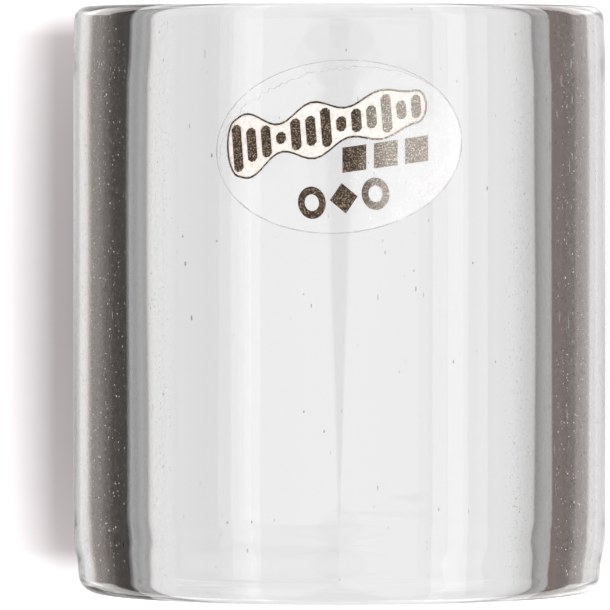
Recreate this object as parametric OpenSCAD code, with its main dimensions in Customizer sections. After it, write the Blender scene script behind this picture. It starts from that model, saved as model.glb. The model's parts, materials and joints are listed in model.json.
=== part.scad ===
// Short glass guitar slide ("knuckle" length) with an oval clear label.
//
// The slide lies on its side: its bore runs along +Y, the fingertip end is at +Y,
// and the middle of the label faces +Z. The origin is the centre of the bore.
// All sizes are millimetres.

/* [Glass tube] */
// Outside diameter of the glass
outer_d = 25; // [24:0.5:29]
// Bore diameter, the finger's side
bore_d = 20; // [17:0.5:21]
// Overall length along the bore
tube_len = 27.5; // [27.5:0.5:70]

/* [Fire-polished ends] */
// Radius of the melted edges, inside and outside
edge_r = 0.7; // [0.4:0.05:0.75]
// How far the outside draws in at the fingertip end
tip_draw_out = 0.06; // [0:0.02:0.2]
// How far the bore narrows at the fingertip end
tip_draw_in = 0.15; // [0:0.01:0.2]
// How far the outside draws in at the hand end
butt_draw_out = 0.3; // [0:0.02:0.4]
// How far the bore narrows at the hand end
butt_draw_in = 0.2; // [0:0.01:0.22]
// Length over which the outside draws in
draw_out_len = 1.8; // [1:0.1:1.8]
// Length over which the bore narrows
draw_in_len = 3; // [1.5:0.1:4]

/* [Label] */
// Width of the oval label, measured round the glass
label_w = 11.6; // [11.2:0.1:13]
// Height of the oval label, along the glass
label_h = 7.9; // [7.6:0.1:8]
// How far the label's centre lies from the middle, towards the fingertip
label_y = 7.2; // [-6:0.1:7.2]
// How far the label is turned, anticlockwise
label_tilt = 4.5; // [-10:0.5:10]
// Thickness of the adhesive
adhesive_t = 0.03; // [0.02:0.01:0.05]
// Thickness of the clear film
film_t = 0.07; // [0.05:0.01:0.12]
// Thickness of each printed layer
ink_t = 0.03; // [0.02:0.01:0.04]

/* [Printed marks] */
// Number of bars in the sound-wave mark
wave_bars = 13; // [9:2:13]
// Width of the thin line round the sound-wave mark
keyline_w = 0.09; // [0.05:0.01:0.11]
// Gap between the bars and that line
keyline_gap = 0.17; // [0.1:0.01:0.2]

/* [Hidden] */
$fn = 96;

outer_r = outer_d / 2;
bore_r = bore_d / 2;
half_len = tube_len / 2;

edge_steps = 10;       // straight pieces in each melted edge
draw_steps = 8;        // straight pieces in each drawn-in length

film_in = outer_r + adhesive_t;
ink_in = film_in + film_t;
top_ink_in = ink_in + ink_t;

oval_steps = 72;       // sides of the oval
cut_margin = 1;        // how far a cutting shape runs past what it cuts
label_prism_h = outer_r + cut_margin;
adhesive_inset = 0.05; // the film overhangs the adhesive by this much

wave_pitch = 0.71;     // between neighbouring bars
wave_bar_w = 0.46;
wave_bar_cut = 0.3;    // size of each cut corner, as a share of the bar's width
wave_rise = 8.5;       // slope of the mark's centre line, degrees
wave_centre = [-0.53, 0.93];
wave_mid_h = 0.74;     // mean half height at the middle of the mark
wave_mid_fall = 0.02;  // how much that falls with each millimetre to the right
wave_swing = 0.29;     // how far the envelope swells above and below the mean
wave_swing_fall = 0.035;
wave_short = 0.64;     // every second bar is this share of its neighbour
wave_swell = 112;      // degrees of the envelope's swell in each millimetre
wave_first = -3.75;    // where the first swell peaks
wave_end = 0.45;       // extra length of the backing past the last bar
wave_edge_steps = 48;  // straight pieces along each side of the backing

row_rise = 3.5;        // how far the rows of blocks and symbols are turned, degrees
block_size = [1.1, 1.14];
block_pitch = 1.46;
block_lean = 0.16;     // sideways lean of each block, top over bottom
block_centre = [2.1, -0.5];

symbol_pitch = 1.47;
symbol_centre = [0.02, -2.35];
ring_r = 0.74;
ring_line = 0.36;
ring_squash = 0.86;    // width of a ring over its height
ring_steps = 36;       // sides of each ring
diamond_r = 0.64;
diamond_stretch = 1.1; // height of the diamond over its width

glass_colour = [0.93, 0.95, 0.95, 0.35];
film_colour = [0.97, 0.97, 0.96, 0.35];
adhesive_colour = [0.95, 0.94, 0.9, 0.35];
ink_colour = [0.2, 0.17, 0.13];
backing_colour = [0.95, 0.92, 0.86];

// Rises from 0 to 1 as t goes from 0 to 1, with no slope at either end.
function ease(t) = (1 - cos(180 * min(max(t, 0), 1))) / 2;

// Points [radius, along] from the plain wall to the flat end face. side is +1 for the
// outside and -1 for the bore; r is the plain radius there.
function wall_to_end(r, draw, len, side) =
    let (edge = r - draw, start = half_len - edge_r)
    concat(
        [for (i = [0 : draw_steps])
            let (t = i / draw_steps)
            [r - draw * ease(t), start - len * (1 - t)]],
        [for (i = [1 : edge_steps])
            let (a = 90 * i / edge_steps)
            [edge - side * edge_r * (1 - cos(a)), start + edge_r * sin(a)]]
    );

function reversed(points) = [for (i = [len(points) - 1 : -1 : 0]) points[i]];
function flipped(points) = [for (p = points) [p[0], -p[1]]];

// Turns a label position into the flat view along Z: u runs round the glass and v
// along it, both from the label's centre before the label is turned.
function on_glass(p) =
    let (
        u = p[0] * cos(label_tilt) - p[1] * sin(label_tilt),
        v = p[0] * sin(label_tilt) + p[1] * cos(label_tilt)
    )
    [outer_r * sin(u / outer_r * 180 / PI), v + label_y];

function oval(w, h) =
    [for (i = [0 : oval_steps - 1])
        let (a = 360 * i / oval_steps)
        [w / 2 * cos(a), h / 2 * sin(a)]];

// Half height of the sound wave at a distance s along its centre line: three swells
// that shrink towards the right.
function wave_half(s) =
    wave_mid_h - wave_mid_fall * s
    + (wave_swing - wave_swing_fall * s) * cos(wave_swell * (s - wave_first));

// A point of the sound wave: s along the sloping centre line, t above it.
function on_wave(s, t) =
    [wave_centre[0] + s * cos(wave_rise), wave_centre[1] + s * sin(wave_rise) + t];

function bar_s(i) = (i - (wave_bars - 1) / 2) * wave_pitch;
wave_half_len = bar_s(wave_bars - 1) + wave_end;

// A bar with cut corners, w wide and 2h tall, round the point [s, 0] of the wave.
function wave_bar(s, w, h) =
    let (x = w / 2, c = w * wave_bar_cut)
    [for (p = [[-x, -h + c], [-x + c, -h], [x - c, -h], [x, -h + c],
               [x, h - c], [x - c, h], [-x + c, h], [-x, h - c]])
        on_wave(s + p[0], p[1])];

// Outline that follows the bars' envelope, grown by a margin all round.
function wave_outline(grow) =
    let (
        n = wave_edge_steps,
        reach = wave_half_len + grow,
        edge = [for (i = [0 : n])
            let (
                k = -cos(180 * i / n),
                s = k * reach,
                inner = min(max(s, bar_s(0)), bar_s(wave_bars - 1)),
                past = (abs(s) - abs(inner)) / (reach - bar_s(wave_bars - 1)),
                full = wave_half(inner) + keyline_gap + grow
            )
            [s, full * sqrt(max(1 - past * past, 0))]]
    )
    concat(
        [for (i = [0 : n]) on_wave(edge[i][0], -edge[i][1])],
        [for (i = [n - 1 : -1 : 1]) on_wave(edge[i][0], edge[i][1])]
    );

function ring_outline(r) =
    [for (i = [0 : ring_steps - 1])
        let (a = 360 * i / ring_steps)
        [ring_squash * r * cos(a), r * sin(a)]];

function block_outline() =
    let (x = block_size[0] / 2, y = block_size[1] / 2, d = block_lean / 2)
    [[-x - d, -y], [x - d, -y], [x + d, y], [-x + d, y]];

function diamond_outline() =
    [for (i = [0 : 3]) diamond_r * [cos(90 * i), diamond_stretch * sin(90 * i)]];

// A mark of a row: its outline turned with the row, at a distance along it.
function in_row(points, centre, along) =
    [for (p = points)
        centre + [(p[0] + along) * cos(row_rise) - p[1] * sin(row_rise),
                  (p[0] + along) * sin(row_rise) + p[1] * cos(row_rise)]];

// A thin layer that follows the glass between two radii, cut to a 2D outline.
module layer(r_in, r_out) {
    intersection() {
        rotate([-90, 0, 0])
            difference() {
                cylinder(h = tube_len, r = r_out, center = true);
                cylinder(h = tube_len + cut_margin, r = r_in, center = true);
            }
        linear_extrude(height = label_prism_h)
            children();
    }
}

module flat(points) {
    polygon([for (p = points) on_glass(p)]);
}

module glass_tube() {
    color(glass_colour)
        rotate([-90, 0, 0])
            rotate_extrude()
                polygon(concat(
                    flipped(reversed(wall_to_end(outer_r, butt_draw_out, draw_out_len, 1))),
                    wall_to_end(outer_r, tip_draw_out, draw_out_len, 1),
                    reversed(wall_to_end(bore_r, tip_draw_in, draw_in_len, -1)),
                    flipped(wall_to_end(bore_r, butt_draw_in, draw_in_len, -1))
                ));
}

module label_adhesive() {
    color(adhesive_colour)
        layer(outer_r, film_in)
            flat(oval(label_w - 2 * adhesive_inset, label_h - 2 * adhesive_inset));
}

module label_film() {
    color(film_colour)
        layer(film_in, ink_in)
            flat(oval(label_w, label_h));
}

module print_backing() {
    color(backing_colour)
        layer(ink_in, top_ink_in)
            flat(wave_outline(keyline_w));
}

module print_keyline() {
    color(ink_colour)
        layer(top_ink_in, top_ink_in + ink_t)
            difference() {
                flat(wave_outline(keyline_w));
                flat(wave_outline(0));
            }
}

module print_wave() {
    color(ink_colour)
        for (i = [0 : wave_bars - 1])
            layer(top_ink_in, top_ink_in + ink_t)
                flat(wave_bar(bar_s(i), wave_bar_w,
                    wave_half(bar_s(i)) * (i % 2 == 0 ? 1 : wave_short)));
}

module print_blocks() {
    color(ink_colour)
        for (i = [-1 : 1])
            layer(ink_in, ink_in + ink_t)
                flat(in_row(block_outline(), block_centre, i * block_pitch));
}

module print_symbols() {
    color(ink_colour) {
        for (side = [-1, 1])
            layer(ink_in, ink_in + ink_t)
                difference() {
                    flat(in_row(ring_outline(ring_r), symbol_centre, side * symbol_pitch));
                    flat(in_row(ring_outline(ring_r - ring_line), symbol_centre, side * symbol_pitch));
                }
        layer(ink_in, ink_in + ink_t)
            flat(in_row(diamond_outline(), symbol_centre, 0));
    }
}

glass_tube();
label_adhesive();
label_film();
print_backing();
print_keyline();
print_wave();
print_blocks();
print_symbols();
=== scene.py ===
"""Looks for the glass guitar slide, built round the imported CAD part."""

import json
import math
import random

import bmesh
import bpy
from mathutils import Matrix, Vector, noise


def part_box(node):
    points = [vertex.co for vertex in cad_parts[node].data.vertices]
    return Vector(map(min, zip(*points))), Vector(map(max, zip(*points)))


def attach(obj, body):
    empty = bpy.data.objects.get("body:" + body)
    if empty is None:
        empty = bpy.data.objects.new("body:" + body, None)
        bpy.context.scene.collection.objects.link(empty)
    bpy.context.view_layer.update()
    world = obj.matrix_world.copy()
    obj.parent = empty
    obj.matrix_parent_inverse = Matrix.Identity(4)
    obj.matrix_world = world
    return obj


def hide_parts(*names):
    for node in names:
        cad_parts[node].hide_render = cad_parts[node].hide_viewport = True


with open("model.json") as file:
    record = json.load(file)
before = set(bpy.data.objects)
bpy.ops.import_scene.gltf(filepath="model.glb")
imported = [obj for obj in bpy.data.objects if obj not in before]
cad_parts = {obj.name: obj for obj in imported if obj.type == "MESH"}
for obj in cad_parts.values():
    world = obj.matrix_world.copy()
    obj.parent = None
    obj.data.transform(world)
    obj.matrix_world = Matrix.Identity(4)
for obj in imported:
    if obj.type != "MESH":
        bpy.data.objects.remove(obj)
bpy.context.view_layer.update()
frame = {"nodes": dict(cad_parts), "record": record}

MM = 0.001

# ---------------------------------------------------------------- sizes of the glass
glass_lo, glass_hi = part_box("glass_tube")
film_lo, film_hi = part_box("label_film")
OUTER_R = glass_hi.x
HALF_LEN = glass_hi.y
FLOOR_Z = glass_lo.z
bore = next(m for m in frame["record"]["mounts"] if m["name"] == "finger_bore")
BORE_R = bore["dims"]["r_mm"] * MM

# The ends: the CAD's, with the outside's changed a little to bring its corners closer to the
# photo's.
BORE_EDGE_R = 0.7 * MM       # melted edges: the bore's at both ends, then the outside's at each end
TIP_EDGE_R = 0.64 * MM
BUTT_EDGE_R = 0.85 * MM
TIP_DRAW_OUT = 0.06 * MM     # how far the outside draws in, and the bore narrows, at each end
TIP_DRAW_IN = 0.15 * MM
BUTT_DRAW_OUT = 0.24 * MM
BUTT_DRAW_IN = 0.2 * MM
DRAW_OUT_LEN = 1.9 * MM
DRAW_IN_LEN = 3.0 * MM

AROUND = 360                 # steps round the tube
WALL_STEPS = 56              # steps along the plain wall, a drawn-in length and a melted edge
DRAW_STEPS = 12
EDGE_STEPS = 14
WANDER_OUT = -0.010 * MM     # how far the two walls may stray from round, always into the glass
WANDER_IN = 0.030 * MM
WANDER_OUT_SEED = 11.0       # where in the noise each of them starts
WANDER_IN_SEED = 47.0
WANDER_ROUND = 2.6           # features round the tube, and in each millimetre along it
WANDER_ALONG = 0.07
GLASS_IOR = 1.474


# ---------------------------------------------------------------- node helpers
class Nodes:
    """The node tree of a new material or world, with short ways to add and join nodes."""

    def __init__(self, owner, output="ShaderNodeOutputMaterial"):
        owner.use_nodes = True
        self.owner = owner
        self.tree = owner.node_tree
        self.tree.nodes.clear()
        self.output = self.add(output)

    @classmethod
    def material(cls, name):
        return cls(bpy.data.materials.new(name))

    def add(self, kind, inputs=None, **settings):
        node = self.tree.nodes.new(kind)
        for key, value in settings.items():
            setattr(node, key, value)
        for key, value in (inputs or {}).items():
            self.put(node.inputs[key], value)
        return node

    def put(self, socket, value):
        if isinstance(value, bpy.types.NodeSocket):
            self.tree.links.new(value, socket)
        elif isinstance(value, bpy.types.Node):
            self.tree.links.new(value.outputs[0], socket)
        else:
            socket.default_value = value

    def maths(self, operation, *values, clamp=False):
        node = self.add("ShaderNodeMath", operation=operation, use_clamp=clamp)
        for socket, value in zip(node.inputs, values):
            self.put(socket, value)
        return node.outputs[0]

    def noise(self, scale, detail=3.0, stretch=(1, 1, 1)):
        """Noise over the object's own metres; scale is in features per millimetre."""
        place = self.add("ShaderNodeTexCoord").outputs["Object"]
        size = tuple(scale / MM * s for s in stretch)
        mapped = self.add("ShaderNodeMapping", {"Vector": place, "Scale": size})
        inputs = {"Vector": mapped, "Scale": 1.0, "Detail": detail}
        return self.add("ShaderNodeTexNoise", inputs).outputs[0]

    def steps(self, value, low, high):
        """0 at low and 1 at high, level past either; low may be the larger of the two."""
        inputs = {"Value": value, "From Min": low, "From Max": high}
        return self.add("ShaderNodeMapRange", inputs).outputs[0]

    def bump(self, height, depth_mm, strength=1.0):
        inputs = {"Height": height, "Distance": depth_mm * MM, "Strength": strength}
        return self.add("ShaderNodeBump", inputs).outputs[0]

    def mix(self, factor, first, second):
        return self.add("ShaderNodeMix", {0: factor, 6: first, 7: second}, data_type="RGBA").outputs[2]

    def blend(self, factor, first, second):
        """Mixes two shaders."""
        return self.add("ShaderNodeMixShader", {0: factor, 1: first, 2: second}).outputs[0]

    def attribute(self, name):
        return self.add("ShaderNodeAttribute", attribute_name=name).outputs["Fac"]

    def axis(self, which):
        """The object's own coordinate along an axis, in metres."""
        place = self.add("ShaderNodeTexCoord").outputs["Object"]
        return self.add("ShaderNodeSeparateXYZ", {0: place}).outputs["XYZ".index(which)]

    def spots(self, per_mm, size, chosen):
        """Small round spots of varied strength: per_mm cells in a millimetre, size their radius as a
        share of a cell, chosen the share of the cells that has one."""
        place = self.add("ShaderNodeTexCoord").outputs["Object"]
        mapped = self.add("ShaderNodeMapping", {"Vector": place, "Scale": (per_mm / MM,) * 3})
        cells = self.add("ShaderNodeTexVoronoi", {"Vector": mapped, "Scale": 1.0})
        near = self.maths("LESS_THAN", cells.outputs["Distance"], size)
        draw = self.add("ShaderNodeSeparateColor", {0: cells.outputs["Color"]})
        kept = self.maths("MULTIPLY", near, self.maths("LESS_THAN", draw.outputs[0], chosen))
        return self.maths("MULTIPLY", kept, self.maths("MULTIPLY_ADD", draw.outputs[1], 0.7, 0.3))

    def shader(self, node):
        self.put(self.output.inputs["Surface"], node)
        return self.owner


# ---------------------------------------------------------------- the glass
def ease(t):
    return (1 - math.cos(math.pi * min(max(t, 0), 1))) / 2


def wall_to_end(radius, draw, length, edge_r, side):
    """Points (radius, along) from the plain wall to the flat end: side is 1 outside, -1 in the bore."""
    start = HALF_LEN - edge_r
    points = [(radius - draw * ease(i / DRAW_STEPS), start - length * (1 - i / DRAW_STEPS))
              for i in range(DRAW_STEPS + 1)]
    edge = radius - draw
    for i in range(1, EDGE_STEPS + 1):
        a = math.pi / 2 * i / EDGE_STEPS
        points.append((edge - side * edge_r * (1 - math.cos(a)), start + edge_r * math.sin(a)))
    return points


def plain_wall(first, last):
    """Points between the ends of two runs, so that the long wall can wander a little."""
    return [(first[0] + (last[0] - first[0]) * i / WALL_STEPS,
             first[1] + (last[1] - first[1]) * i / WALL_STEPS)
            for i in range(1, WALL_STEPS)]


def flipped(points):
    return [(r, -y) for r, y in points]


def tube_profile():
    out_butt = flipped(wall_to_end(OUTER_R, BUTT_DRAW_OUT, DRAW_OUT_LEN, BUTT_EDGE_R, 1))[::-1]
    out_tip = wall_to_end(OUTER_R, TIP_DRAW_OUT, DRAW_OUT_LEN, TIP_EDGE_R, 1)
    in_tip = wall_to_end(BORE_R, TIP_DRAW_IN, DRAW_IN_LEN, BORE_EDGE_R, -1)[::-1]
    in_butt = flipped(wall_to_end(BORE_R, BUTT_DRAW_IN, DRAW_IN_LEN, BORE_EDGE_R, -1))
    outer = out_butt + plain_wall(out_butt[-1], out_tip[0]) + out_tip
    inner = in_tip + plain_wall(in_tip[-1], in_butt[0]) + in_butt
    return outer, inner


def wander(along, angle, seed, depth):
    """How far drawn glass strays from round there: slowly along the tube, faster round it."""
    at = Vector((math.cos(angle) * WANDER_ROUND, math.sin(angle) * WANDER_ROUND,
                 along / MM * WANDER_ALONG + seed))
    return depth * (0.5 + 0.5 * noise.noise(at))


def make_glass():
    outer, inner = tube_profile()
    profile = ([(r, y, WANDER_OUT_SEED, WANDER_OUT) for r, y in outer]
               + [(r, y, WANDER_IN_SEED, WANDER_IN) for r, y in inner])
    mesh = bmesh.new()
    rings = []
    for radius, y, seed, depth in profile:
        ring = []
        for k in range(AROUND):
            a = 2 * math.pi * k / AROUND
            r = radius + wander(y, a, seed, depth)
            ring.append(mesh.verts.new((r * math.sin(a), y, r * math.cos(a))))
        rings.append(ring)
    join_rings(mesh, rings + rings[:1])
    bmesh.ops.recalc_face_normals(mesh, faces=mesh.faces)
    add_seeds(mesh)
    finish_piece(mesh, "glass_body", glass_material(), "glass_tube")


def join_rings(mesh, rings):
    """Quads between each closed ring of vertices and the next."""
    for one, two in zip(rings, rings[1:]):
        for k in range(len(one)):
            after = (k + 1) % len(one)
            mesh.faces.new((one[k], one[after], two[after], two[k]))


def mesh_object(mesh, name, material):
    """A new object in the scene from a bmesh, which this uses up."""
    data = bpy.data.meshes.new(name)
    mesh.to_mesh(data)
    mesh.free()
    data.materials.append(material)
    made = bpy.data.objects.new(name, data)
    bpy.context.scene.collection.objects.link(made)
    return made


def finish_piece(mesh, name, material, node):
    """Makes a smooth piece of the slide that stands for a CAD node."""
    piece = mesh_object(mesh, name, material)
    piece.data.shade_smooth()
    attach(piece, "root")
    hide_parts(node)


def glass_material():
    """Clear glass with faint ripples and smears, and specks and hairline scratches where it is handled."""
    n = Nodes.material("clear_glass")
    ripple = n.noise(0.16, 2.0, (1, 0.12, 1))
    orange_peel = n.noise(1.4, 2.0)
    height = n.maths("ADD", ripple, n.maths("MULTIPLY", orange_peel, 0.05))
    smear = n.steps(n.noise(0.22, 5.0, (1, 0.35, 1)), 0.5, 0.8)
    rough = n.maths("MULTIPLY", smear, 0.012)
    tint = n.mix(smear, (0.995, 0.995, 0.995, 1), (0.980, 0.980, 0.980, 1))
    dark_specks = n.maths("MAXIMUM", n.spots(0.62, 0.034, 0.10), n.spots(1.1, 0.034, 0.10))
    tint = n.mix(dark_specks, tint, (0.34, 0.33, 0.32, 1))
    glass = n.add("ShaderNodeBsdfPrincipled", {
        "Base Color": tint, "Roughness": rough, "IOR": GLASS_IOR, "Transmission Weight": 1.0,
        "Normal": n.bump(height, 0.02, 0.35)})
    sides = n.steps(n.maths("ABSOLUTE", n.axis("X")), 0.76 * OUTER_R, 0.84 * OUTER_R)
    low = n.steps(n.axis("Y"), 0.3 * HALF_LEN, -0.7 * HALF_LEN)
    dust = n.maths("MAXIMUM", n.spots(4.2, 0.15, 0.60), n.spots(2.6, 0.12, 0.45))
    dust = n.maths("MULTIPLY", dust, n.maths("MULTIPLY_ADD", low, 0.25, 0.70))
    film = n.steps(n.noise(4.5, 4.0), 0.42, 0.75)
    scratch = n.steps(n.noise(7.0, 1.0, (1, 0.09, 1)), 0.735, 0.77)
    slant = n.steps(n.noise(6.0, 1.0, (0.35, 0.12, 1.6)), 0.74, 0.77)
    marks = n.maths("MULTIPLY", n.maths("MAXIMUM", scratch, slant), n.steps(n.noise(0.35, 2.0), 0.42, 0.62))
    marks = n.maths("MAXIMUM", n.maths("MULTIPLY", marks, 0.40), dust)
    marks = n.maths("MAXIMUM", marks, n.maths("MULTIPLY", film, 0.07))
    white = n.add("ShaderNodeBsdfDiffuse", {"Color": (0.72, 0.71, 0.69, 1)})
    return n.shader(n.blend(n.maths("MULTIPLY", marks, sides), glass, white))


SEEDS = 150                  # fine bubbles in the wall
SEED_DRAW = 61               # starts the random draw of their places
SEED_WIDTH = (0.016 * MM, 0.045 * MM)
SEED_STRETCH = (1.2, 4.0)    # drawn out along the tube
SEED_CLEAR = 0.25 * MM       # least glass between a seed and a surface
# Three larger ones in the right wall: angle from the top in degrees, share of the half
# length, width in mm, stretch.
BUBBLES = ((64.0, 0.80, 0.060, 4.0), (64.5, 0.68, 0.055, 4.5), (66.0, 0.53, 0.050, 3.5))


def add_seeds(mesh):
    """Bubbles, as voids with their faces turned inwards."""
    pick = random.Random(SEED_DRAW)
    places = [(math.radians(angle), (BORE_R + OUTER_R) / 2, share * HALF_LEN, wide * MM, stretch)
              for angle, share, wide, stretch in BUBBLES]
    for _ in range(SEEDS):
        places.append((pick.uniform(0, 2 * math.pi),
                       pick.uniform(BORE_R + SEED_CLEAR, OUTER_R - SEED_CLEAR),
                       pick.uniform(-1, 1) * (HALF_LEN - BUTT_EDGE_R),
                       pick.uniform(*SEED_WIDTH) * pick.uniform(0.6, 1.0),
                       pick.uniform(*SEED_STRETCH)))
    for a, r, y, wide, stretch in places:
        place = (Matrix.Translation((r * math.sin(a), y, r * math.cos(a)))
                 @ Matrix.Diagonal((wide, wide * stretch, wide, 1)))
        made = bmesh.ops.create_icosphere(mesh, subdivisions=2, radius=1.0, matrix=place)
        faces = {f for v in made["verts"] for f in v.link_faces}
        bmesh.ops.reverse_faces(mesh, faces=list(faces))


# ---------------------------------------------------------------- the label
LABEL_W = 11.6 * MM
LABEL_H = 7.9 * MM
LABEL_TILT = math.radians(4.5)
LABEL_Y = (film_lo.y + film_hi.y) / 2
LABEL_RINGS = 26
LABEL_STEPS = 200
ADHESIVE_BOTTOM = 0.010 * MM  # heights over the glass
ADHESIVE_TOP = 0.026 * MM
FILM_BOTTOM = 0.034 * MM
FILM_TOP = 0.096 * MM
SHEET_BOW = 0.0015 * MM       # how far a sheet's surface wanders up and down
EDGE_LINE = 0.055             # width of the dark line round a sheet, in mm like the rim attribute


def on_glass(u, v, height):
    """A label point: u round the glass and v along it, from the label's centre before it is turned."""
    across = u * math.cos(LABEL_TILT) - v * math.sin(LABEL_TILT)
    along = u * math.sin(LABEL_TILT) + v * math.cos(LABEL_TILT)
    r = OUTER_R + height
    return Vector((r * math.sin(across / OUTER_R), LABEL_Y + along, r * math.cos(across / OUTER_R)))


def sheet(name, outline, low, high, material, node):
    """A thin closed sheet on the glass. outline(angle) gives its edge (u, v), and low and high
    are heights. Its rim attribute is the distance from its edge, in mm."""
    mesh = bmesh.new()
    rim = mesh.verts.layers.float.new("rim")
    edge = [Vector(outline(2 * math.pi * k / LABEL_STEPS)) for k in range(LABEL_STEPS)]

    def ring(share, height):
        made = []
        for k in range(LABEL_STEPS):
            u, v = edge[k] * share
            bow = SHEET_BOW * noise.noise(Vector((u, v, 0)) / MM * 0.8)
            vert = mesh.verts.new(on_glass(u, v, height + bow))
            vert[rim] = (edge[k] * (1 - share)).length / MM
            made.append(vert)
        return made

    shares = [math.sin(math.pi / 2 * i / LABEL_RINGS) for i in range(1, LABEL_RINGS + 1)]
    middle = (low + high) / 2
    upper = [ring(share, high) for share in shares[:-1]]
    lower = [ring(share, low) for share in reversed(shares[:-1])]
    rings = upper + [ring(1.0, middle)] + lower
    join_rings(mesh, rings)
    for end in (rings[0], rings[-1]):
        mesh.faces.new(end)
    bmesh.ops.recalc_face_normals(mesh, faces=mesh.faces)
    finish_piece(mesh, name, material, node)


def film_outline(a):
    return LABEL_W / 2 * math.cos(a), LABEL_H / 2 * math.sin(a)


def adhesive_outline(a):
    """The film's outline drawn in by ragged, scalloped amounts, most along its upper left."""
    lean = max(math.cos(a - math.radians(118)), 0) ** 2
    ragged = noise.noise(Vector((math.cos(a), math.sin(a), 0.3)) * 7.0)
    scallop = abs(noise.noise(Vector((math.cos(a), math.sin(a), 5.1)) * 15.0))
    inset = (0.02 + 0.38 * lean + 0.12 * lean * ragged + 0.40 * lean * scallop) * MM
    return (LABEL_W / 2 - inset) * math.cos(a), (LABEL_H / 2 - inset) * math.sin(a)


def haze(n):
    """How much milkier than elsewhere the label is: most at its lower right, in creased patches."""
    right = n.steps(n.axis("X"), 0.6 * MM, 3.8 * MM)
    low = n.steps(n.axis("Y"), LABEL_Y + 3.4 * MM, LABEL_Y - 1.0 * MM)
    patch = n.steps(n.noise(0.55, 3.0), 0.42, 0.60)
    creases = n.steps(n.noise(1.6, 4.0), 0.40, 0.62)
    cloud = n.maths("MULTIPLY", n.maths("MULTIPLY", right, low),
                    n.maths("MULTIPLY_ADD", creases, 0.45, 0.55))
    return n.maths("MULTIPLY", cloud, n.maths("MULTIPLY_ADD", patch, 0.5, 0.5))


def clear_sheet(name, line, milk, cloud, gloss):
    """Clear plastic: dark by the share line in a broken line round its edge, milky by the share
    milk everywhere and by cloud more where haze() says, and glossy by the share gloss."""
    n = Nodes.material(name)
    milk = n.maths("MULTIPLY_ADD", haze(n), cloud, milk, clamp=True)
    white = n.add("ShaderNodeBsdfDiffuse", {"Color": (0.97, 0.98, 0.98, 1)})
    body = n.blend(milk, n.add("ShaderNodeBsdfTransparent"), white)
    broken = n.maths("MULTIPLY_ADD", n.steps(n.noise(1.1, 3.0), 0.38, 0.62), 0.7, 0.3)
    edge = n.maths("MULTIPLY", n.steps(n.attribute("rim"), EDGE_LINE, 0.0), broken)
    dark = n.add("ShaderNodeBsdfDiffuse", {"Color": (0.42, 0.36, 0.33, 1)})
    body = n.blend(n.maths("MULTIPLY", edge, line), body, dark)
    relief = n.bump(n.noise(1.3, 3.0), 0.01, 0.25)
    shine = n.add("ShaderNodeBsdfGlossy", {"Roughness": 0.10, "Normal": relief})
    fresnel = n.add("ShaderNodeFresnel", {"IOR": 1.45, "Normal": relief})
    return n.shader(n.blend(n.maths("MULTIPLY", fresnel, gloss), body, shine))


def dark_ink():
    """Bronze-brown ink, flecked and broken, that fades to a pale grey towards the right."""
    n = Nodes.material("dark_ink")
    fleck = n.steps(n.noise(15.0, 2.0), 0.50, 0.68)
    shifted = n.maths("MULTIPLY_ADD", n.noise(0.9, 3.0), 1.3 * MM, n.axis("X"))
    fade = n.steps(shifted, 1.45 * MM, 2.75 * MM)
    deep = n.mix(fleck, (0.022, 0.014, 0.008, 1), (0.300, 0.225, 0.150, 1))
    pale = n.mix(fleck, (0.235, 0.215, 0.180, 1), (0.62, 0.600, 0.540, 1))
    ink = n.add("ShaderNodeBsdfPrincipled", {
        "Base Color": n.mix(fade, deep, pale), "Roughness": 0.45, "Specular IOR Level": 0.35,
        "Normal": n.bump(fleck, 0.006, 0.5)})
    holes = n.steps(n.noise(9.0, 3.0), 0.60, 0.72)
    gone = n.maths("MULTIPLY", holes, n.maths("MULTIPLY_ADD", fade, 0.55, 0.30))
    return n.shader(n.blend(gone, ink, n.add("ShaderNodeBsdfTransparent")))


def cream_ink():
    n = Nodes.material("cream_ink")
    mottle = n.steps(n.noise(3.0, 4.0), 0.35, 0.70)
    colour = n.mix(mottle, (0.82, 0.785, 0.73, 1), (0.77, 0.74, 0.69, 1))
    ink = n.add("ShaderNodeBsdfPrincipled", {"Base Color": colour, "Roughness": 0.5,
                                             "Normal": n.bump(mottle, 0.004, 0.4)})
    worn = n.maths("MULTIPLY_ADD", n.steps(n.noise(4.0, 3.0), 0.45, 0.75), 0.35, 0.12)
    return n.shader(n.blend(worn, ink, n.add("ShaderNodeBsdfTransparent")))


def make_label():
    adhesive = clear_sheet("label_adhesive", line=0.38, milk=0.02, cloud=0.30, gloss=0.0)
    film = clear_sheet("label_film", line=0.58, milk=0.035, cloud=0.36, gloss=0.55)
    sheet("label_adhesive_layer", adhesive_outline, ADHESIVE_BOTTOM, ADHESIVE_TOP,
          adhesive, "label_adhesive")
    sheet("label_film_oval", film_outline, FILM_BOTTOM, FILM_TOP,
          film, "label_film")
    cream, dark = (cream_ink(), "cream_ink"), (dark_ink(), "dark_ink")
    inks = {"print_backing": cream, "print_keyline": dark, "print_wave": dark,
            "print_blocks": dark, "print_symbols": dark}
    for node, (material, name) in inks.items():
        for slot in frame["nodes"][node].material_slots:
            slot.material = material


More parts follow.
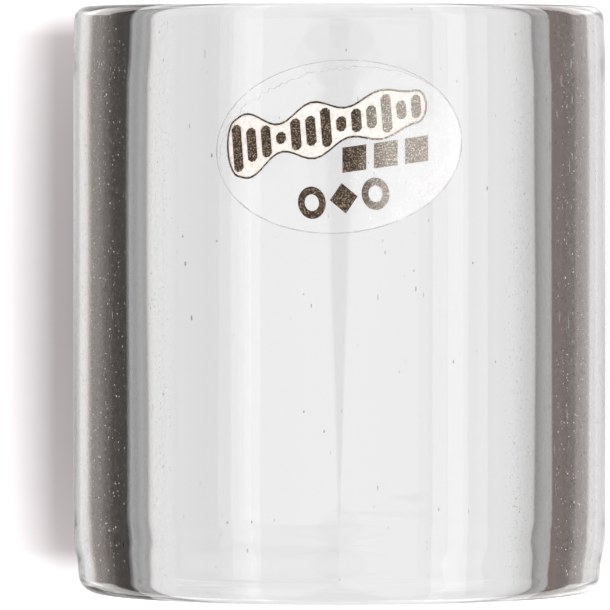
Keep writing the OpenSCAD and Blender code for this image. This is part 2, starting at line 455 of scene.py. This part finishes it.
# ---------------------------------------------------------------- stage
# The glass shows what stands round it, so the stage is most of its look. Under it lies a
# glowing card that only the glass shows, painted bright close to the tube and dark further out:
# it paints the light and shade of the bands in the glass. Two panels hang overhead.
FLOOR_HALF = 1500 * MM        # half width of the floor
FLOOR_DROP = 0.03 * MM        # how far it lies under the glass
WASH = 0.40                   # how much the floor glows just past the ends
SURROUND_SPAN = 6.0           # half width of the surface as the glass shows it, in tube radii
SURROUND_DEEP = 12 * HALF_LEN
SURROUND_DROP = 0.02 * MM
LIFT_LEFT = 0.07 * OUTER_R    # its dark edges stand this far over the surface, or under it
LIFT_RIGHT = -0.20 * OUTER_R
BORE_CROSSED = 3.5            # a ray through the bore is refracted four times, others twice
FAR_GREY = (0.52, 0.52, 0.53)
END_HIGHLIGHT_PATCH = (2.8, 2.75, 2.7)  # painted highlights: colour of the glowing patches that only the rounded ends mirror
PATCH_SLANT = 0.244           # how far they move along with each unit across

# What the surface looks like in the glass, as stops (distance from the tube's axis in tube
# radii, colour): to rays that crossed only the wall, to rays that crossed the bore too, and to
# rays mirrored off the outside. They were changed round by round until the bands in the glass
# had the tones that were read off the photo.
# These colours are painted light and shade, glowing from the card that only the glass shows.
THROUGH_WALL = (
    (-3.12, FAR_GREY), (-2.99, (0.25, 0.25, 0.25)), (-2.89, (0.053, 0.049, 0.049)),
    (-2.44, (0.050, 0.044, 0.041)), (-2.06, (0.056, 0.049, 0.044)), (-1.92, (0.072, 0.063, 0.057)),
    (-1.74, (0.090, 0.079, 0.071)), (-1.66, (0.142, 0.126, 0.115)), (-1.57, (0.182, 0.162, 0.148)),
    (-1.51, (0.212, 0.189, 0.174)), (-1.40, (0.230, 0.203, 0.185)), (-1.30, (0.28, 0.235, 0.205)),
    (-1.22, (0.58, 0.52, 0.475)), (-1.16, (0.80, 0.79, 0.78)), (-0.9, (0.81, 0.81, 0.81)),
    (0.9, (0.84, 0.84, 0.84)), (1.10, (0.78, 0.78, 0.78)), (1.30, (0.66, 0.65, 0.64)),
    (1.36, (0.36, 0.33, 0.32)), (1.82, (0.27, 0.23, 0.22)), (1.90, (0.165, 0.138, 0.127)),
    (2.10, (0.145, 0.122, 0.11)), (2.55, (0.19, 0.155, 0.145)), (3.13, (0.20, 0.165, 0.155)),
    (3.27, (0.55, 0.54, 0.54)), (4.2, (0.40, 0.40, 0.40)),
)
THROUGH_BORE = (
    (-1.80, (0.06, 0.055, 0.055)), (-1.56, (0.10, 0.098, 0.096)), (-1.38, (0.12, 0.117, 0.115)),
    (-1.31, (0.21, 0.205, 0.20)), (-1.25, (0.285, 0.28, 0.275)), (-1.19, (0.285, 0.28, 0.275)),
    (-1.145, (0.19, 0.18, 0.175)), (-1.112, (0.30, 0.29, 0.28)), (-1.085, (0.68, 0.67, 0.66)),
    (-1.05, (0.80, 0.80, 0.80)), (-0.45, (0.815, 0.815, 0.815)), (-0.38, (0.85, 0.85, 0.85)),
    (0.60, (0.85, 0.85, 0.85)), (0.85, (0.84, 0.84, 0.84)), (1.00, (0.77, 0.77, 0.77)),
    (1.10, (0.66, 0.66, 0.66)), (1.18, (0.60, 0.59, 0.585)), (1.285, (0.50, 0.48, 0.47)),
    (1.305, (0.15, 0.135, 0.13)), (1.335, (0.10, 0.09, 0.085)), (1.38, (0.19, 0.175, 0.17)),
    (1.50, (0.25, 0.235, 0.23)), (1.80, (0.21, 0.195, 0.19)),
)
MIRRORED = (
    (-2.3, (0.10, 0.095, 0.09)), (-2.05, (0.20, 0.19, 0.18)), (-1.92, (0.60, 0.58, 0.57)),
    (-1.80, (0.85, 0.84, 0.83)), (-1.63, (0.88, 0.87, 0.86)), (-1.57, (0.55, 0.54, 0.535)),
    (-1.47, (0.33, 0.32, 0.32)), (-1.35, (0.42, 0.41, 0.41)), (-1.24, (0.66, 0.64, 0.64)),
    (1.0, (1.0, 0.99, 0.99)), (1.3, (0.96, 0.95, 0.94)), (1.45, (0.66, 0.64, 0.635)),
    (1.74, (0.70, 0.68, 0.67)), (1.86, (0.92, 0.90, 0.89)), (2.0, (0.62, 0.60, 0.59)),
    (2.26, (1.0, 0.97, 0.95)), (2.40, (0.90, 0.86, 0.84)), (2.55, (0.45, 0.42, 0.40)),
    (3.0, (0.20, 0.18, 0.17)),
)

PANEL_Z = 410 * MM
PANEL_LEFT_X = -447 * MM
PANEL_RIGHT_X = 940 * MM
STRIP_X = (437 * MM, 565 * MM)  # a brighter strip of the right panel
PANEL_GLOW = 0.92             # brightness of the panels, of that strip, and of the panel past it
STRIP_GLOW = 2.5
OUTER_GLOW = 1.7
STRIP_DROP = 2 * MM           # how far those brighter parts hang under the panel
PANEL_FRONT_LEFT = -45 * MM   # the left panel stops short, the right one doesn't
PANEL_FRONT_RIGHT = -420 * MM
PANEL_BACK = 420 * MM
NOTCH_TIP_Y = -30 * MM        # the V that the camera looks through
NOTCH_SLOPE = 1.27            # half its width over the distance from its tip

KEY_PLACE = (95 * MM, 0, 600 * MM)
KEY_SIZE = (200 * MM, 100 * MM)
KEY_POWER = 2.5               # watts

CAMERA_PLACE = (0, 8.7 * MM, 410 * MM)
CAMERA_AIM = (-1.61 * MM, -0.28 * MM, 0)
CAMERA_LENS = 515             # focal length and sensor width, in the camera's own millimetres
CAMERA_SENSOR = 36


def flat_piece(name, points, z, material):
    """A flat piece of the stage at height z, from its corners (x, y)."""
    mesh = bmesh.new()
    mesh.faces.new([mesh.verts.new((x, y, z)) for x, y in points])
    piece = mesh_object(mesh, name, material)
    return piece


def rectangle(left, right, front, back):
    return (left, front), (right, front), (right, back), (left, back)


def only_in_glass(piece):
    """Seen in reflections and through glass, but not directly, and it casts no shadow or light."""
    piece.visible_camera = piece.visible_diffuse = piece.visible_shadow = False


def floor_material():
    """Pale paper, with a glow just past the ends of the tube that washes its shadow out there."""
    n = Nodes.material("studio_floor")
    shade = n.mix(n.noise(0.9, 4.0), (0.905, 0.9, 0.9, 1), (0.925, 0.92, 0.92, 1))
    paper = n.add("ShaderNodeBsdfPrincipled", {
        "Base Color": shade, "Roughness": 0.9, "Specular IOR Level": 0.0})
    along = n.maths("ABSOLUTE", n.axis("Y"))
    wash = n.maths("MULTIPLY", n.steps(along, HALF_LEN - 1.3 * MM, HALF_LEN + 0.2 * MM),
                   n.steps(along, HALF_LEN + 20 * MM, HALF_LEN + 3 * MM))
    beside = n.maths("ABSOLUTE", n.axis("X"))
    wash = n.maths("MULTIPLY", wash, n.steps(beside, 45 * MM, 25 * MM))
    glow = n.add("ShaderNodeEmission", {0: (1, 1, 1, 1), 1: n.maths("MULTIPLY", wash, WASH)})
    return n.shader(n.add("ShaderNodeAddShader", {0: paper, 1: glow}))


def ramp(n, factor, stops):
    """The colour between stops, for a factor that is 0 to 1 across the whole surface."""
    node = n.add("ShaderNodeValToRGB", {0: factor})
    elements = node.color_ramp.elements
    while len(elements) < len(stops):
        elements.new(0.5)
    for element, (at, colour) in zip(elements, stops):
        element.position = 0.5 + at / (2 * SURROUND_SPAN)
        element.color = (*colour, 1)
    return node.outputs[0]


def end_highlight_patches(n, right, out, far):
    """1 in four glowing patches beyond the corners that only the rounded ends of the tube mirror,
    as painted highlights: right is 1 on that side, out and far are the distances across and
    along. On the left they keep further out, which leaves a dark line at the very end of the glass."""
    left = n.maths("MULTIPLY", n.maths("SUBTRACT", 1.0, right),
                   n.steps(far, HALF_LEN + 1.2 * MM, HALF_LEN + 6 * MM))
    start = n.maths("MULTIPLY_ADD", left, 0.45 * OUTER_R, 1.08 * OUTER_R)
    beyond = n.maths("MULTIPLY_ADD", out, -PATCH_SLANT, far)
    across = n.maths("MULTIPLY", n.steps(n.maths("SUBTRACT", out, start), 0.0, 0.2 * OUTER_R),
                     n.steps(out, 3.3 * OUTER_R, 2.9 * OUTER_R))
    return n.maths("MULTIPLY", n.steps(beyond, HALF_LEN - 2.7 * MM, HALF_LEN - 0.7 * MM), across)


def surround_material():
    """A glowing card painted with the light and shade the glass shows, which depend on the way a ray came.
    """
    n = Nodes.material("surround")
    geometry = n.add("ShaderNodeNewGeometry")
    place = n.add("ShaderNodeSeparateXYZ", {0: geometry.outputs["Position"]})
    coming = n.add("ShaderNodeSeparateXYZ", {0: geometry.outputs["Incoming"]})
    right = n.maths("GREATER_THAN", place.outputs[0], 0.0)
    lift = n.maths("MULTIPLY_ADD", right, LIFT_RIGHT - LIFT_LEFT, LIFT_LEFT)
    lean = n.maths("DIVIDE", coming.outputs[0], n.maths("MAXIMUM", coming.outputs[2], 0.05))
    x = n.maths("MULTIPLY_ADD", lean, lift, place.outputs[0])
    across = n.steps(x, -SURROUND_SPAN * OUTER_R, SURROUND_SPAN * OUTER_R)
    out = n.maths("ABSOLUTE", x)

    past_tip = n.steps(place.outputs[1], HALF_LEN + 0.3 * MM, HALF_LEN + 1.5 * MM)
    close = n.steps(out, 1.9 * OUTER_R, 1.5 * OUTER_R)
    mirrored = n.mix(n.maths("MULTIPLY", past_tip, close), ramp(n, across, MIRRORED),
                     (0.95, 0.95, 0.94, 1))
    # Glowing patches that paint highlights in the rounded ends.
    patches = end_highlight_patches(n, right, out, n.maths("ABSOLUTE", place.outputs[1]))
    mirrored = n.mix(patches, mirrored, (*END_HIGHLIGHT_PATCH, 1))

    path = n.add("ShaderNodeLightPath")
    crossed = n.maths("GREATER_THAN", path.outputs["Transmission Depth"], BORE_CROSSED)
    through = n.mix(crossed, ramp(n, across, THROUGH_WALL), ramp(n, across, THROUGH_BORE))
    # Seen from low down it is pale, so that the tube stays clear in views from the side.
    through = n.mix(n.steps(coming.outputs[2], 0.30, 0.42), (0.80, 0.80, 0.80, 1), through)
    colour = n.mix(path.outputs["Is Reflection Ray"], through, mirrored)
    return n.shader(n.add("ShaderNodeEmission", {"Color": colour, "Strength": 1.0}))


def panel_material(name, strength):
    n = Nodes.material(name)
    return n.shader(n.add("ShaderNodeEmission", {"Color": (1, 1, 1, 1), "Strength": strength}))


def area(name, place, size, power):
    """A soft light aimed at the glass, that makes the shadow and isn't seen itself."""
    data = bpy.data.lights.new(name, "AREA")
    data.shape, data.size, data.size_y = "RECTANGLE", size[0], size[1]
    data.energy = power
    light = bpy.data.objects.new(name, data)
    bpy.context.scene.collection.objects.link(light)
    light.location = place
    light.rotation_euler = (-Vector(place)).to_track_quat("-Z", "Y").to_euler()
    light.visible_glossy = light.visible_transmission = light.visible_camera = False


def make_world():
    """Pale to the camera, soft and warm on the floor, and in the glass dark overhead and pale
    low down."""
    n = Nodes(bpy.data.worlds.new("studio"), "ShaderNodeOutputWorld")
    path = n.add("ShaderNodeLightPath")
    towards = n.add("ShaderNodeSeparateXYZ", {0: n.add("ShaderNodeTexCoord").outputs["Generated"]})
    along, up = towards.outputs[1], towards.outputs[2]
    # Seen in the rounded ends only: bright past the fingertip end, and high up past the other.
    past_tip = n.steps(along, 0.20, 0.45)
    past_butt = n.maths("MULTIPLY", n.steps(along, -0.20, -0.40), n.steps(up, 0.25, 0.45))
    ends = n.mix(n.maths("MAXIMUM", past_tip, past_butt), (0.16, 0.16, 0.16, 1), (0.90, 0.90, 0.90, 1))
    in_glass = n.mix(n.steps(up, 0.05, -0.05), ends, (0.75, 0.75, 0.75, 1))
    colour = n.mix(path.outputs["Is Diffuse Ray"], ends, (0.825, 0.765, 0.775, 1))
    colour = n.mix(path.outputs["Is Transmission Ray"], colour, in_glass)
    colour = n.mix(path.outputs["Is Camera Ray"], colour, (0.93, 0.93, 0.93, 1))
    bpy.context.scene.world = n.shader(n.add("ShaderNodeBackground", {0: colour}))


def make_stage():
    floor = flat_piece("floor", rectangle(-FLOOR_HALF, FLOOR_HALF, -FLOOR_HALF, FLOOR_HALF),
                       FLOOR_Z - FLOOR_DROP, floor_material())
    floor.visible_glossy = floor.visible_transmission = False
    wide = SURROUND_SPAN * OUTER_R
    only_in_glass(flat_piece("surround", rectangle(-wide, wide, -SURROUND_DEEP, SURROUND_DEEP),
                             FLOOR_Z - SURROUND_DROP, surround_material()))
    # The notch opens towards the back, on both sides of x = 0. The left panel ends on its edge.
    light = panel_material("panel", PANEL_GLOW)
    only_in_glass(flat_piece("panel_left", (
        (PANEL_LEFT_X, PANEL_FRONT_LEFT), (0, PANEL_FRONT_LEFT), (0, NOTCH_TIP_Y),
        (PANEL_LEFT_X, NOTCH_TIP_Y - PANEL_LEFT_X / NOTCH_SLOPE)), PANEL_Z, light))
    only_in_glass(flat_piece("panel_right", (
        (0, PANEL_FRONT_RIGHT), (PANEL_RIGHT_X, PANEL_FRONT_RIGHT), (PANEL_RIGHT_X, PANEL_BACK),
        ((PANEL_BACK - NOTCH_TIP_Y) * NOTCH_SLOPE, PANEL_BACK), (0, NOTCH_TIP_Y)), PANEL_Z, light))
    for name, first, last, strength in (("panel_strip", *STRIP_X, STRIP_GLOW),
                                        ("panel_outer", STRIP_X[1], PANEL_RIGHT_X, OUTER_GLOW)):
        only_in_glass(flat_piece(name, rectangle(first, last, PANEL_FRONT_RIGHT, PANEL_BACK),
                                 PANEL_Z - STRIP_DROP, panel_material(name, strength)))
    area("key", KEY_PLACE, KEY_SIZE, KEY_POWER)
    make_world()


def make_camera():
    """Almost straight above, a little towards the fingertip end, and aimed left of the tube's axis."""
    data = bpy.data.cameras.new("camera")
    data.lens, data.sensor_width = CAMERA_LENS, CAMERA_SENSOR
    data.clip_start, data.clip_end = 0.01, 10
    camera = bpy.data.objects.new("camera", data)
    bpy.context.scene.collection.objects.link(camera)
    place, aim = Vector(CAMERA_PLACE), Vector(CAMERA_AIM)
    forward = (aim - place).normalized()
    right = forward.cross(Vector((0, 1, 0))).normalized()
    up = right.cross(forward)
    turn = Matrix((right, up, -forward)).transposed()
    camera.matrix_world = Matrix.Translation(place) @ turn.to_4x4()
    bpy.context.scene.camera = camera


make_glass()
make_label()
make_stage()
make_camera()
bpy.context.scene.view_settings.view_transform = "Standard"
bpy.context.scene.cycles.caustics_refractive = False
bpy.context.scene.cycles.caustics_reflective = False
